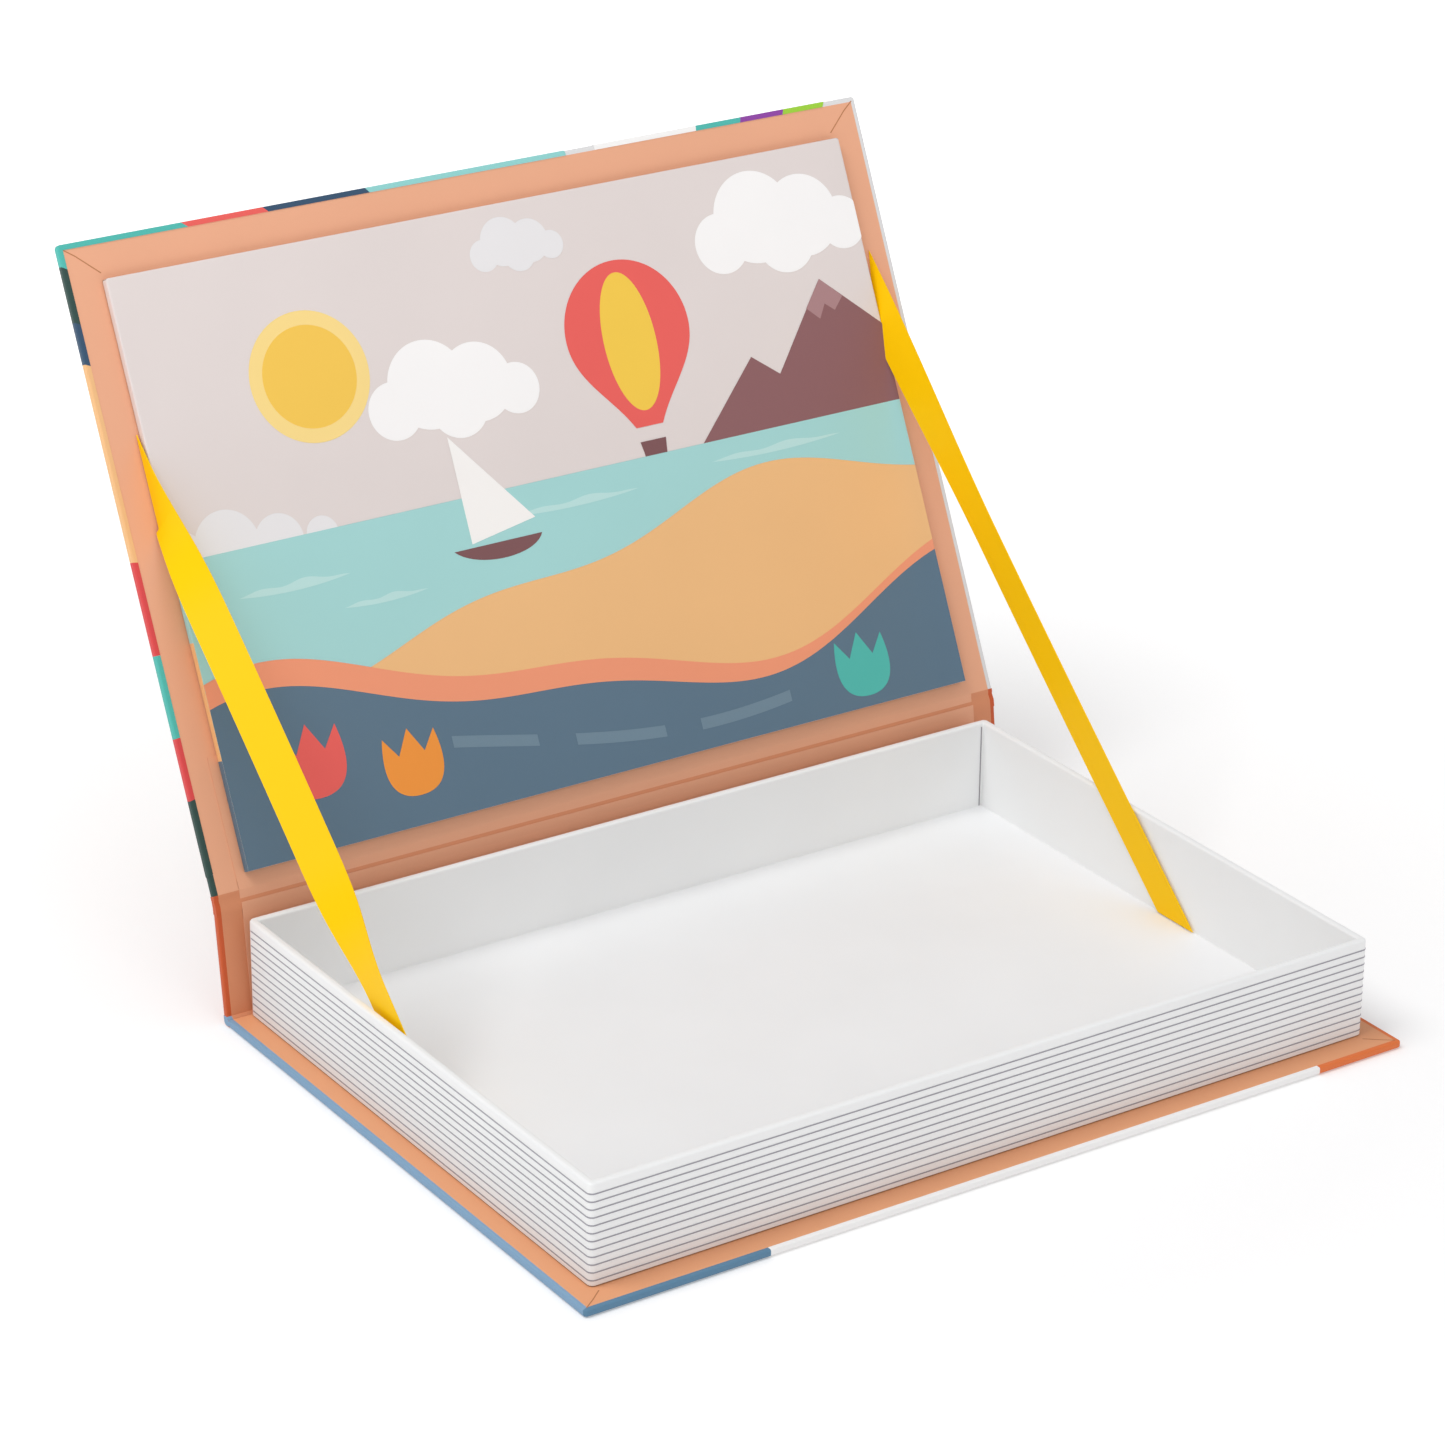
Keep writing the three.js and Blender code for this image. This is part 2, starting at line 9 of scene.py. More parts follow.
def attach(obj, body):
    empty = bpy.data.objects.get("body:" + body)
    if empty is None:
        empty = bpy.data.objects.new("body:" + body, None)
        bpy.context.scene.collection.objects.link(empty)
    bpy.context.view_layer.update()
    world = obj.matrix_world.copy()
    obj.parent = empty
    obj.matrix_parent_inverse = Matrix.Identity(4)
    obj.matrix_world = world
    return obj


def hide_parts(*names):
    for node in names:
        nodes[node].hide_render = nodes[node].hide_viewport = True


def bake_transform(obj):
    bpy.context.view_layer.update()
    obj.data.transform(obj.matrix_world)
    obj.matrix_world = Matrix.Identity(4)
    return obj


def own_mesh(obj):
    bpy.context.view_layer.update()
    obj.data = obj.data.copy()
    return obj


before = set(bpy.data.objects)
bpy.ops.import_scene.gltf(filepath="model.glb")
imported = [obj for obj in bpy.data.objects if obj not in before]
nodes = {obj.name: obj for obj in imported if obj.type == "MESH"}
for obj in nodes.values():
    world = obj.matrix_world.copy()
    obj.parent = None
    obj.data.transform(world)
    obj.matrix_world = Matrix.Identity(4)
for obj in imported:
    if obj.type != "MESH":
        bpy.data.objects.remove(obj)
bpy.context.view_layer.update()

# Sizes in mm, the same as the part's
HALF = 127.5
THICK = 1.9
LINING = 0.2
CREASE_Y = 90.0
BOARD_START = 2.4
BASE_DEPTH = 180.0
LID_REACH = 178.0
SPINE = 33.3
LEAN = math.radians(7.5)
LID_LEAN = math.radians(25.3)
CORNER = 1.0
EDGE = 0.45
BLEED = 1.4
TRAY_HALF = 120.8
TRAY_FRONT = -81.7
TRAY_BACK = CREASE_Y - BOARD_START
TRAY_WALL = 2.2
TRAY_FOOT = 2.15
TRAY_RIM = 30.3
TRAY_FLOOR = 4.15
BOARD_HALF = 117.3
BOARD_LOW = 6.6
BOARD_HIGH = 167.0
BOARD_FOOT = 2.15
BOARD_FACE = 4.7

# Where colours change on the covers' edges: along the base's front, and up from the lid's foot
BLUE_END = -74.0
WHITE_END = 99.5
DARK_FOOT = 8.0

# Folded paper and ribbon ends
LINING_HALF = HALF - 7.6
FACE_STEP = 0.02
RIM_ROUND = 0.75
FLOOR_FILLET = 0.3
RIBBON_LID_END = 2.3
RIBBON_FLOOR_END = TRAY_FLOOR + 0.35


# Camera: fitted to the photo's corners
def look(azimuth, elevation, roll, place_mm, focal_px, picture_px):
    """Camera at place_mm looking along (azimuth, elevation), turned by roll about its own axis."""
    a, e, r = (math.radians(v) for v in (azimuth, elevation, roll))
    back = Vector((-math.sin(a) * math.cos(e), -math.cos(a) * math.cos(e), math.sin(e)))
    right = (-back).cross(Vector((0, 0, 1))).normalized()
    up = right.cross(-back)
    right_r = right * math.cos(r) + up * math.sin(r)
    up_r = up * math.cos(r) - right * math.sin(r)
    camera = bpy.data.objects.new("camera", bpy.data.cameras.new("camera"))
    bpy.context.scene.collection.objects.link(camera)
    turn = Matrix((right_r, up_r, back)).transposed().to_4x4()
    camera.matrix_world = Matrix.Translation(Vector(place_mm) / 1000) @ turn
    camera.data.sensor_width = 36
    camera.data.lens = focal_px / picture_px * 36
    camera.data.clip_end = 100
    bpy.context.scene.camera = camera
    return back


TO_CAMERA = look(33.855, 24.0115, 0.5142, (-660.12, -940.40, 602.32), 4879.88, 1445)
bpy.context.scene.view_settings.view_transform = "Standard"


# Materials
def linear(hex_color):
    """sRGB hex to linear RGB: ((c + 0.055) / 1.055) ** 2.4 above 0.04045, c / 12.92 below."""
    channels = [int(hex_color[i:i + 2], 16) / 255 for i in (1, 3, 5)]
    return [c / 12.92 if c <= 0.04045 else ((c + 0.055) / 1.055) ** 2.4 for c in channels]


def add(tree, kind, **values):
    """Adds a node and sets its inputs, by name or as i0, i1; a value that is a socket is linked."""
    node = tree.nodes.new(kind)
    for name, value in values.items():
        numbered = name[0] == "i" and name[1:].isdigit()
        target = node.inputs[int(name[1:]) if numbered else name.replace("_", " ")]
        if isinstance(value, bpy.types.NodeSocket):
            tree.links.new(value, target)
        else:
            target.default_value = value
    return node


def coated_paper(name, hex_color, roughness=0.5, specular=0.3, grain=0.025, mottle=0.03):
    """Matte laminated printed paper: a fine fibre bump and a faint unevenness of colour.

    Fibres are drawn about 0.7 mm wide, coarser than real ones, so that they show.
    """
    material = bpy.data.materials.new(name)
    material.use_nodes = True
    tree = material.node_tree
    tree.nodes.clear()
    coords = add(tree, "ShaderNodeTexCoord").outputs["Object"]
    fibre = add(tree, "ShaderNodeTexNoise", Vector=coords, Scale=1400.0, Detail=3.0)
    cloud = add(tree, "ShaderNodeTexNoise", Vector=coords, Scale=28.0, Detail=3.0)
    bump = add(tree, "ShaderNodeBump", Height=fibre.outputs[0], Strength=grain, Distance=0.0004)
    base = linear(hex_color)
    shade = tree.nodes.new("ShaderNodeMix")
    shade.data_type = "RGBA"
    tree.links.new(cloud.outputs[0], shade.inputs["Factor"])
    shade.inputs[6].default_value = [c * (1 - mottle) for c in base] + [1]
    shade.inputs[7].default_value = [min(1, c * (1 + mottle)) for c in base] + [1]
    surface = add(
        tree, "ShaderNodeBsdfPrincipled",
        Base_Color=shade.outputs[2], Roughness=roughness, Normal=bump.outputs[0],
    )
    surface.inputs["Specular IOR Level"].default_value = specular
    out = add(tree, "ShaderNodeOutputMaterial")
    tree.links.new(surface.outputs[0], out.inputs[0])
    return material


def satin(name, hex_color):
    """Woven satin ribbon: smoother than paper, with fine ribs across its length."""
    material = coated_paper(name, hex_color, roughness=0.42, specular=0.12, grain=0.02, mottle=0.02)
    tree = material.node_tree
    uv = add(tree, "ShaderNodeUVMap").outputs[0]
    ribs = add(tree, "ShaderNodeTexWave", Vector=uv, Scale=900.0)
    ribs.bands_direction = "Y"
    surface = next(n for n in tree.nodes if n.type == "BSDF_PRINCIPLED")
    bump = add(tree, "ShaderNodeBump", Height=ribs.outputs["Fac"], Strength=0.06, Distance=0.0001)
    tree.links.new(bump.outputs[0], surface.inputs["Normal"])
    return material


def brushed_steel(name):
    """Thin bright steel sheet: a metal with a satin highlight."""
    material = bpy.data.materials.new(name)
    material.use_nodes = True
    surface = material.node_tree.nodes["Principled BSDF"]
    surface.inputs["Base Color"].default_value = linear("#c0c2c4") + [1]
    surface.inputs["Metallic"].default_value = 1
    surface.inputs["Roughness"].default_value = 0.3
    return material


WHITE = coated_paper("white laminated paper", "#f0f1f1", roughness=0.45)
WHITE_FLOOR = coated_paper("white floor paper", "#eff0f1", roughness=0.42)
PEACH = coated_paper("peach printed paper", "#e8aa88", roughness=0.5)
# Same peach lining as the lid's, made darker here as painted shade: the tray hides the spine's inside and the
# creases from the light.
SHADED_PEACH_SPINE = coated_paper("peach spine paper, painted shade", "#d98f68", roughness=0.5)
PEACH_BASE = coated_paper("orange peach printed paper", "#e6a276", roughness=0.5)
PEACH_EDGE = coated_paper("peach paper edge", "#b8794f", roughness=0.7)
SEAM_SHADE_GREY = coated_paper("paper seam in shade", "#98949b", roughness=0.7)
GREYBOARD = coated_paper("grey bookbinding board", "#a8a196", roughness=0.9, grain=0.2)
LINE_INK = coated_paper("grey page line ink", "#9c9ba3", roughness=0.55)
SKY_PAPER = coated_paper("picture paper, sky", "#dfd5d2")
COVER_GREY = coated_paper("cover paper, light grey", "#dcdcdc")
COVER_WHITE = coated_paper("cover paper, white", "#f3f2f1")
COVER_BLUE = coated_paper("cover paper, blue", "#5a83a0")
COVER_SKY = coated_paper("cover paper, light blue", "#7fa2c0")
COVER_ORANGE = coated_paper("cover paper, orange", "#e2763c")
SPINE_ORANGE = coated_paper("spine paper, orange red", "#cb5a2e")

PRINT_COLORS = {
    "print_tulip_left": "#e8605a",
    "print_tulip_middle": "#f0953a",
    "print_tulip_right": "#4fb7ad",
    "print_slate_hill": "#5b7487",
    "print_coral_rim": "#ef9874",
    "print_sand_hill": "#edba80",
    "print_sail": "#f5f2ef",
    "print_lake": "#a3d4d2",
    "print_balloon_gore": "#f2c84a",
    "print_balloon": "#e8605a",
    "print_basket": "#7c5355",
    "print_sun": "#f2c552",
    "print_mountains": "#8b5f61",
    "print_cloud_left": "#f6f3f2",
    "print_cloud_right": "#f6f3f2",
    "cover_ray_dark_green_low": "#2f4a45",
    "cover_ray_red_low": "#d8484a",
    "cover_ray_teal_low": "#4fb7ad",
    "cover_ray_red_high": "#d8484a",
    "cover_ray_sand": "#edba82",
    "cover_ray_navy_side": "#34506b",
    "cover_ray_dark_green_high": "#2f4a45",
    "cover_ray_teal_corner": "#4fb7ad",
    "cover_ray_coral": "#e8605a",
    "cover_ray_navy_top": "#34506b",
    "cover_ray_aqua": "#8fd0cd",
    "cover_ray_white": "#f4f3f1",
    "cover_ray_teal_top": "#4fb7ad",
    "cover_ray_purple": "#8e44a3",
    "cover_ray_green": "#9ccf3c",
}
INKS = {
    color: coated_paper("print ink " + color, color)
    for color in sorted(set(PRINT_COLORS.values()))
}


# Panels of the case: origin, direction and inward normal in the (y, z) plane
def panel(origin, angle):
    """A panel from `origin` along (sin angle, cos angle), its inside towards (-cos angle, sin angle)."""
    along = np.array([math.sin(angle), math.cos(angle)])
    normal = np.array([-math.cos(angle), math.sin(angle)])
    return np.array(origin), along, normal


HINGE = (CREASE_Y + SPINE * math.sin(LEAN), SPINE * math.cos(LEAN))
BASE = (np.array([CREASE_Y, 0.0]), np.array([-1.0, 0.0]), np.array([0.0, 1.0]))
BACK = panel((CREASE_Y, 0.0), LEAN)
LID = panel(HINGE, LID_LEAN)


def seat(where, points):
    """Panel coordinates (x, along, inward) in mm to row coordinates in mm."""
    points = np.asarray(points, float)
    origin, along, normal = where
    in_plane = origin + points[..., 1:2] * along + points[..., 2:3] * normal
    return np.concatenate([points[..., :1], in_plane], axis=-1)


def at(where, along, height):
    """A point (y, z) in mm from panel coordinates."""
    return seat(where, [(0.0, along, height)])[0][1:]


def solid(name, points, faces, materials, paint, body, smooth=35):
    """A closed mesh from points in mm; paint(centre, face number) picks a material's number."""
    name = name.replace(" ", "_")
    mesh = bpy.data.meshes.new(name)
    points = np.asarray(points).reshape(-1, 3)
    mesh.from_pydata((points / 1000).tolist(), [], faces)
    for material in materials:
        mesh.materials.append(material)
    colors = [paint(points[list(face)].mean(axis=0), number) for number, face in enumerate(faces)]
    mesh.polygons.foreach_set("material_index", colors)
    mesh.polygons.foreach_set("use_smooth", [True] * len(faces))
    made = bmesh.new()
    made.from_mesh(mesh)
    bmesh.ops.remove_doubles(made, verts=made.verts, dist=1e-7)
    bmesh.ops.recalc_face_normals(made, faces=made.faces)
    made.to_mesh(mesh)
    made.free()
    mesh.set_sharp_from_angle(angle=math.radians(smooth))
    item = bpy.data.objects.new(name, mesh)
    bpy.context.scene.collection.objects.link(item)
    if body:
        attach(item, body)
    return item


def quads(starts, points, after):
    """Quads between rings that begin at `starts`: each point, the one after it, and the same two a ring on."""
    step = starts[1] - starts[0]
    low = starts[:-1, None] + points
    next_low = starts[:-1, None] + after
    return np.stack([low, next_low, next_low + step, low + step], axis=-1).reshape(-1, 4).tolist()


def loft_faces(rings, around):
    """Quads between closed rings of `around` points, and a cap on the first and the last ring."""
    k = np.arange(around)
    starts = np.arange(rings) * around
    return quads(starts, k, (k + 1) % around) + [k.tolist(), (starts[-1] + k).tolist()]


def edge_profile(radius, thick, bleed, steps=4):
    """(inset, height) pairs over a panel's edge: face, quarter round, side, quarter round, face."""
    turn = np.linspace(0, math.pi / 2, steps + 1)
    low = np.stack([radius * (1 - np.sin(turn)), radius * (1 - np.cos(turn))], axis=1)
    high = low[::-1] * [1, -1] + [0, thick]
    return np.concatenate([[(bleed, 0.0)], low, high, [(bleed, thick)]])


def cover(name, where, reach, profile, corner, half, splits, materials, paint, body, low):
    """A panel whose free edges follow `profile`; its hinge side is a flat face at `low`.

    Point (inset i, height h) of the profile runs up the left side, round the free edge and down the
    right side of a rectangle shrunk by i, whose corners have the radius max(corner - i, 0). The
    places in `splits` get points of their own, so that a colour can change there.
    """
    def ring(inset):
        radius = max(corner - inset, 0.0)
        side, top = half - inset, reach - inset
        turn = np.linspace(0, math.pi / 2, 7)
        near, far = radius - radius * np.cos(turn), radius * np.sin(turn) - radius
        up = [low, *splits["side"]]
        return np.concatenate([
            [(-side, u) for u in up],
            np.stack([near - side, top + far], axis=1),
            [(x, top) for x in splits["top"]],
            np.stack([side + far, top - near], axis=1),
            [(side, u) for u in reversed(up)],
        ])

    rings = np.array([np.insert(ring(inset), 2, height, axis=1) for inset, height in profile])
    count, around = rings.shape[:2]
    k = np.arange(around)
    starts = np.arange(count) * around
    faces = quads(starts, k[:-1], k[1:])
    faces += [k.tolist(), (starts[-1] + k).tolist()]
    faces.append([*starts.tolist(), *(starts[::-1] + around - 1).tolist()])
    local = rings.reshape(-1, 3)
    centres = [local[list(face)].mean(axis=0) for face in faces]
    return solid(name, seat(where, local), faces, materials, lambda c, k: paint(centres[k]), body)


def flat(name, where, outline, height, material, body, depth=0.03):
    """A thin printed field: the outline (x, along) raised by `depth` from `height`."""
    bottom = np.insert(np.asarray(outline, float), 2, height, axis=1)
    points = seat(where, np.concatenate([bottom, bottom + [0, 0, depth]]))
    return solid(name, points, loft_faces(2, len(outline)), [material], lambda c, k: 0, body)


# Case: base, spine and lid
def base_paint(c):
    if c[2] > THICK - FACE_STEP and abs(c[0]) < HALF - BLEED and c[1] < BASE_DEPTH - BLEED:
        return 0
    if c[1] < BASE_DEPTH - 3:
        return 1 if c[0] < 0 else 4
    return 2 if c[0] < BLUE_END else (3 if c[0] < WHITE_END else 4)


base = cover(
    "base case", BASE, BASE_DEPTH, edge_profile(EDGE, THICK, BLEED), CORNER, HALF,
    {"side": [60, 120], "top": [BLUE_END, 0.0, WHITE_END]},
    [PEACH_BASE, COVER_SKY, COVER_BLUE, COVER_WHITE, COVER_ORANGE], base_paint, "tray", BOARD_START,
)
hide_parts("back_cover_wrap")


def lid_paint(c):
    inside = c[2] > THICK - FACE_STEP and abs(c[0]) < HALF - BLEED and c[1] < LID_REACH - BLEED
    return 0 if inside else (2 if c[0] < -HALF + 3 and c[1] < DARK_FOOT else 1)


lid = cover(
    "lid case", LID, LID_REACH, edge_profile(EDGE, THICK, BLEED), CORNER, HALF,
    {"side": [DARK_FOOT, 60, 120], "top": [-60.0, 0.0, 60.0]},
    [PEACH, COVER_GREY, INKS["#2f4a45"]], lid_paint, "front_cover", BOARD_START,
)
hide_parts("front_cover_wrap")


def rounded_end(half, thick, radius, bleed, steps=4):
    """Loop (x, n) round a flat slab with rounded ends, with a point at the bleed on its inner face."""
    turn = np.linspace(0, math.pi / 2, steps + 1)
    sine, cosine = radius * np.sin(turn), radius * np.cos(turn)
    right = np.concatenate([
        np.stack([half - radius + sine, radius - cosine], axis=1),
        np.stack([half - radius + cosine, thick - radius + sine], axis=1),
        [(half - bleed, thick)],
    ])
    return np.concatenate([right, right[::-1] * [-1, 1]])


def spine_paint(c, _):
    on_inner_face = np.dot(c[1:] - BACK[0], BACK[2]) > THICK - FACE_STEP
    return 1 if abs(c[0]) < 1 and on_inner_face else 0


SPINE_END = SPINE - BOARD_START
loop = rounded_end(HALF, THICK, EDGE, BLEED)
spine_points = np.concatenate([np.insert(loop, 1, v, axis=1) for v in (BOARD_START, SPINE / 2, SPINE_END)])
spine = solid(
    "spine case", seat(BACK, spine_points), loft_faces(3, len(loop)),
    [SPINE_ORANGE, SHADED_PEACH_SPINE], spine_paint, "spine",
)
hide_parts("spine_wrap")


def crease(name, section, outer_count, colors):
    """Paper bent round a crease: a closed section (y, z) drawn along the book.

    Its first outer_count sides are the outside and its last one closes it. colors are those of the
    outside, of the left end, and of the inside between the bleeds.
    """
    around = len(section)
    xs = (-HALF, -HALF + BLEED, HALF - BLEED, HALF)
    points = np.concatenate([np.insert(np.array(section), 0, x, axis=1) for x in xs])

    def paint(c, k):
        if k >= 3 * around:
            return 1 if c[0] < 0 else 0
        strip, side = divmod(k, around)
        inner = outer_count <= side < around - 1
        return 2 if inner and strip == 1 else (1 if inner else 0)

    item = solid(name, points, loft_faces(len(xs), around), colors, paint, None, smooth=50)
    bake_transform(item)


# Sections of the creases: round the fold on the outside, then back inside it
crease("upper crease", [
    at(BACK, SPINE_END, 0), at(BACK, SPINE - 0.8, 0), at(LID, 0.8, 0), at(LID, BOARD_START, 0),
    at(LID, BOARD_START, THICK), at(LID, 1.7, THICK - 0.1), at(LID, 0.9, 1.4),
    at(BACK, SPINE - 0.25, THICK - 0.1), at(BACK, SPINE_END, THICK),
], 4, [SPINE_ORANGE, SPINE_ORANGE, SHADED_PEACH_SPINE])
crease("lower crease", [
    at(BASE, BOARD_START, 0), at(BASE, 0.6, 0), at(BACK, 0.6, 0), at(BACK, BOARD_START, 0),
    at(BACK, BOARD_START, THICK), at(BASE, BOARD_START, THICK),
], 4, [SPINE_ORANGE, COVER_SKY, SHADED_PEACH_SPINE])


def bridge(name, ends, material, thick=0.12):
    """Lining paper over the inside of a crease: the path `ends` and the same path moved off square to it."""
    path = np.array(ends)
    run = np.concatenate([path[1:2] - path[:1], path[2:] - path[:-2], path[-1:] - path[-2:-1]])
    square = np.stack([-run[:, 1], run[:, 0]], axis=1) / np.linalg.norm(run, axis=1)[:, None]
    section = np.concatenate([path, (path - thick * square)[::-1]])
    points = np.concatenate([np.insert(section, 0, x, axis=1) for x in (-LINING_HALF, LINING_HALF)])
    item = solid(name, points, loft_faces(2, len(section)), [material], lambda c, k: 0, None, smooth=60)
    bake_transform(item)
    return item


# A shallow valley: (distance from the fold, depth) on each side of it
TOP = THICK + LINING + 0.02
VALLEY = ((5.0, 0.0), (3.4, 0.0), (2.2, 0.05), (1.1, 0.45))
upper = [at(BACK, SPINE - away, TOP - deep) for away, deep in VALLEY]
upper += [at(LID, away, TOP - deep) for away, deep in VALLEY[::-1]]
bridge("lining over the upper crease", upper, PEACH)


# Mitred turn-ins: the seam where two flaps of the wrap meet
def mitre(name, where, reach, length, body, material, half_seam=0.11):
    """A narrow line from each outer corner, in two stretches, to `length` in from the side."""
    for side, hand in ((-1, "left"), (1, "right")):
        path = np.array([
            (side * (HALF - 1.2), reach - 1.2),
            (side * (HALF - 4.5), reach - 3.6),
            (side * (HALF - length), reach - length + 1.5),
        ])
        wide = np.array([side * half_seam, -half_seam])
        outline = np.concatenate([path - wide, (path + wide)[::-1]])
        item = flat(f"{name} {hand}", where, outline, THICK - 0.01, material, body)


mitre("lid mitre seam", LID, LID_REACH, 10.6, "front_cover", PEACH_EDGE)
mitre("base mitre seam", BASE, BASE_DEPTH, 8.0, "tray", PEACH_EDGE)


# Tray
def tray_ring(inset, z):
    """Rectangle with rounded corners: outline shrunk by `inset`, corner radius max(1.6 - inset, 0.5)."""
    radius = max(1.6 - inset, 0.5)
    x1, y0, y1 = TRAY_HALF - inset - radius, TRAY_FRONT + inset + radius, TRAY_BACK - inset - radius
    centres = np.array([(x1, y0), (x1, y1), (-x1, y1), (-x1, y0)])
    turn = np.radians(np.linspace(0, 90, 9) + np.array([[-90], [0], [90], [180]]))
    ring = centres[:, None] + radius * np.stack([np.cos(turn), np.sin(turn)], axis=-1)
    return np.insert(ring.reshape(-1, 2), 2, z, axis=1)


def tray_shell():
    """Wall profile (inset, z): up the outside, over a rim with two quarter rounds, down to a small fillet."""
    turn = np.linspace(0, math.pi / 2, 6)
    back_in = RIM_ROUND * (1 - np.cos(turn))
    up = TRAY_RIM - RIM_ROUND + RIM_ROUND * np.sin(turn)
    bend = np.linspace(0, math.pi / 2, 4)
    profile = np.concatenate([
        [(0.12, TRAY_FOOT), (0.0, TRAY_FOOT + 0.15)],
        np.stack([back_in, up], axis=1),
        np.stack([TRAY_WALL - back_in, up], axis=1)[::-1],
        np.stack([
            TRAY_WALL + FLOOR_FILLET * (1 - np.cos(bend)),
            TRAY_FLOOR - 0.12 + FLOOR_FILLET * (1 - np.sin(bend)),
        ], axis=1),
    ])
    rings = np.array([tray_ring(inset, z) for inset, z in profile])
    return solid(
        "tray paper", rings, loft_faces(*rings.shape[:2]), [WHITE], lambda c, k: 0, "tray",
    )


tray = tray_shell()
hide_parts("tray_wrap")

# Overlap of the inside paper at the back corners: a real seam, drawn grey as painted shade in the corner
for side in (-1, 1):
    x = side * (TRAY_HALF - TRAY_WALL - 0.5)
    y = TRAY_BACK - TRAY_WALL - 0.02
    points = [(x + dx * side, y + dy, z) for z in (TRAY_FLOOR, TRAY_RIM - 1.2)
              for dx, dy in ((0.0, 0.0), (0.0, -0.1), (-0.3, -0.1), (-0.3, 0.0))]
    seam = solid(f"inside paper seam {side}", points, loft_faces(2, 4), [SEAM_SHADE_GREY], lambda c, k: 0, "tray")

# Picture board
SIDE_COLORS = [(0, "#5b7487"), (30, "#edba80"), (62, "#a3d4d2"), (84, "#dfd5d2")]
SIDE_INKS = [coated_paper("picture paper, side " + c, c) for _, c in SIDE_COLORS]


def board_paint(c):
    if c[2] > BOARD_FACE - FACE_STEP:
        return 0
    share = c[1] - BOARD_LOW
    return 1 + max(k for k, (start, _) in enumerate(SIDE_COLORS) if share >= start - 1)


board = cover(
    "picture board paper", LID, BOARD_HIGH,
    edge_profile(0.4, BOARD_FACE - BOARD_FOOT, 1.0) + [0, BOARD_FOOT], 0.9, BOARD_HALF,
    {"side": [BOARD_LOW + s for s, _ in SIDE_COLORS[1:]], "top": [0.0]},
    [SKY_PAPER] + SIDE_INKS, board_paint, "front_cover", BOARD_LOW,
)
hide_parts("picture_face_paper")


# Round print fields, drawn again with smooth outlines: x is a share of the board's half width,
# heights and sizes are shares of its height
TALL = BOARD_HIGH - BOARD_LOW


def arc(x, y, radius, start=0.0, end=360.0, count=72, squeeze=1.0):
    """Circle: centre + radius * (squeeze * cos, sin) of the angles from start to end."""
    turn = np.radians(np.linspace(start, end, count, endpoint=end - start < 360))
    return np.stack([x + radius * squeeze * np.cos(turn), y + radius * np.sin(turn)], axis=1)


def curve(a, b, c, d, count=20):
    """Cubic Bezier: sum of binomial weights of the four points."""
    t = np.linspace(0, 1, count)[:, None]
    a, b, c, d = (np.array(p) for p in (a, b, c, d))
    return (1 - t) ** 3 * a + 3 * t * (1 - t) ** 2 * b + 3 * t * t * (1 - t) * c + t ** 3 * d


def printed(name, outline, level, material, instead=None):
    """A printed field `level` mm above the first ink, kept within the board's edges."""
    edge = BOARD_HALF - 0.05
    kept = np.clip(outline, [-edge, BOARD_LOW + 0.05], [edge, BOARD_HIGH - 0.05])
    item = flat(name, LID, kept, BOARD_FACE + 0.03 + level, material, "front_cover", 0.02)
    if instead:
        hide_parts(instead)
    return item


def place(x, y):
    """Shares of the board to panel coordinates in mm."""
    return x * BOARD_HALF, BOARD_LOW + y * TALL


def ground(base, waves, count=96):
    """Skyline base + sum of h * sin(2 pi (turns * x / 2 + phase)), x from -1 to 1, down to the board's foot."""
    xs = np.linspace(-1, 1, count)
    skyline = base + sum(h * np.sin(2 * math.pi * (turns * xs / 2 + phase)) for h, turns, phase in waves)
    corners = np.array([place(-1, 0), place(1, 0)])
    return np.concatenate([corners[:1], np.stack(place(xs, skyline), axis=1), corners[1:]])


def cloud(name, x, y, size, color, instead):
    """Five overlapping discs, each a (right, up, radius) share of the cloud's size."""
    cx, cy = place(x, y)
    r = size * TALL
    bumps = [(-1.5, 0.35, 0.62), (-0.6, 0.75, 0.95), (0.55, 0.6, 0.85), (1.45, 0.3, 0.55), (0, 0.2, 0.7)]
    for k, (dx, dy, q) in enumerate(bumps):
        disc = arc(cx + dx * r, cy + dy * r, q * r)
        printed(f"{name} {k}", disc, 0.002 * k, color, instead if k == 0 else None)


CLOUD = coated_paper("print ink, cloud", "#f6f4f3")
CLOUD_SHADE = coated_paper("print ink, cloud shade", "#e6e4e5")
SUN_RING = coated_paper("print ink, sun ring", "#f6d88a")
RIPPLE = coated_paper("print ink, ripple", "#b9dedb")
SLATE_LIGHT = coated_paper("print ink, light slate", "#6f8797")
SNOW = coated_paper("print ink, peak light", "#a98183")

sx, sy = place(-0.56, 0.775)
printed("sun ring", arc(sx, sy, 0.112 * TALL), 0.0, SUN_RING)
printed("sun", arc(sx, sy, 0.0875 * TALL), 0.02, INKS["#f2c552"], "print_sun")
cloud("far cloud", 0.05, 0.9, 0.045, CLOUD_SHADE, None)
cloud("near cloud", -0.2, 0.66, 0.081, CLOUD, "print_cloud_left")
cloud("right cloud", 0.78, 0.825, 0.087, CLOUD, "print_cloud_right")
bank = [(-0.98, 0.52, 0.05), (-0.86, 0.53, 0.06), (-0.73, 0.52, 0.045), (-0.62, 0.515, 0.03)]
for k, (x, y, r) in enumerate(bank):
    cx, cy = place(x, y)
    printed(f"shore cloud {k}", arc(cx, cy, r * TALL), 0.001 * k, CLOUD_SHADE)
ridge = [(0.41, 0.51), (0.61, 0.65), (0.68, 0.61), (0.85, 0.76), (1.0, 0.66), (1.0, 0.51)]
printed("mountains", [place(x, y) for x, y in ridge], 0.02, INKS["#8b5f61"], "print_mountains")
peak = [(0.85, 0.76), (0.905, 0.722), (0.875, 0.70), (0.85, 0.715), (0.828, 0.69), (0.795, 0.713)]
printed("peak light", [place(x, y) for x, y in peak], 0.04, SNOW)
shore = [(-1, 0), (-1, 0.52), (1, 0.52), (1, 0)]
